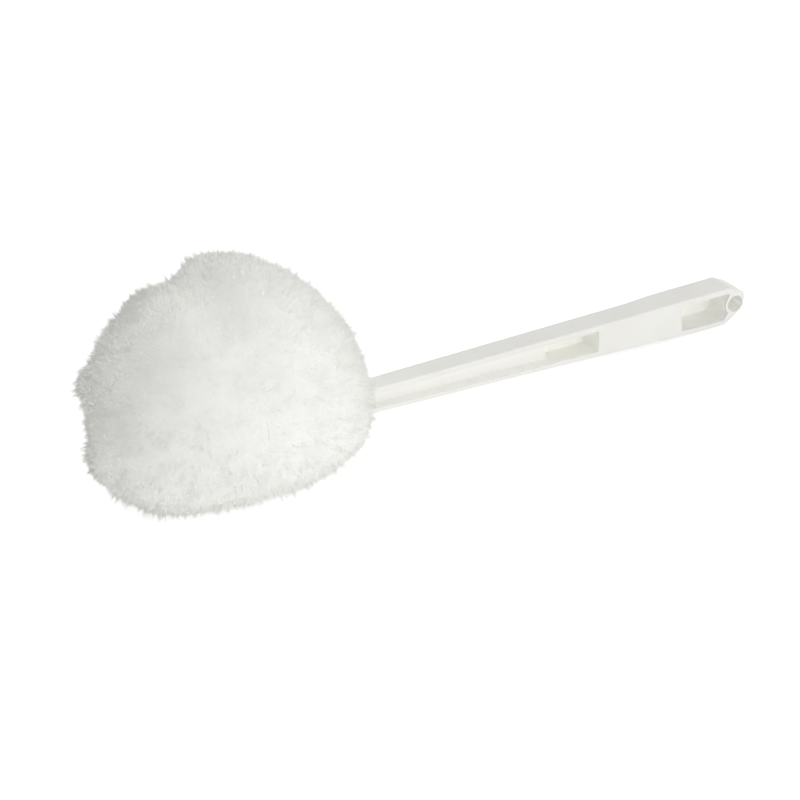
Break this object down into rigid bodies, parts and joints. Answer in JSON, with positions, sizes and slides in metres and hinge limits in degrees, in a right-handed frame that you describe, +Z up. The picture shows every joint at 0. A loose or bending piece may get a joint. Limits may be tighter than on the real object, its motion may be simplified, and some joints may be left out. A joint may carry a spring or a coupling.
{
  "type": "toilet bowl swab",
  "caption": "Straight tapered plastic handle with side channels, pockets and a hang hole, ending in a round fluffy head of white fibre tied to its stem.",
  "frame": {"origin": "middle of the part's underside, in the middle of its bounding box seen from above", "axes": "+X from the head to the hanging end of the handle, +Y across the handle away from its panelled side, +Z up as the swab lies on a table"},
  "size_m": [0.3062, 0.1126, 0.0901],
  "materials": {
    "white_plastic": "satin",
    "white_fibre": "matte",
    "galvanised_wire": "satin"
  },
  "bodies": {
    "root": {"handle": "white_plastic", "fibre_tuft_1": "white_fibre", "fibre_tuft_2": "white_fibre", "fibre_tuft_3": "white_fibre", "fibre_tuft_4": "white_fibre", "fibre_tuft_5": "white_fibre", "fibre_tuft_6": "white_fibre", "fibre_tuft_7": "white_fibre", "fibre_tuft_8": "white_fibre", "tying_wire": "galvanised_wire"}
  },
  "joints": []
}
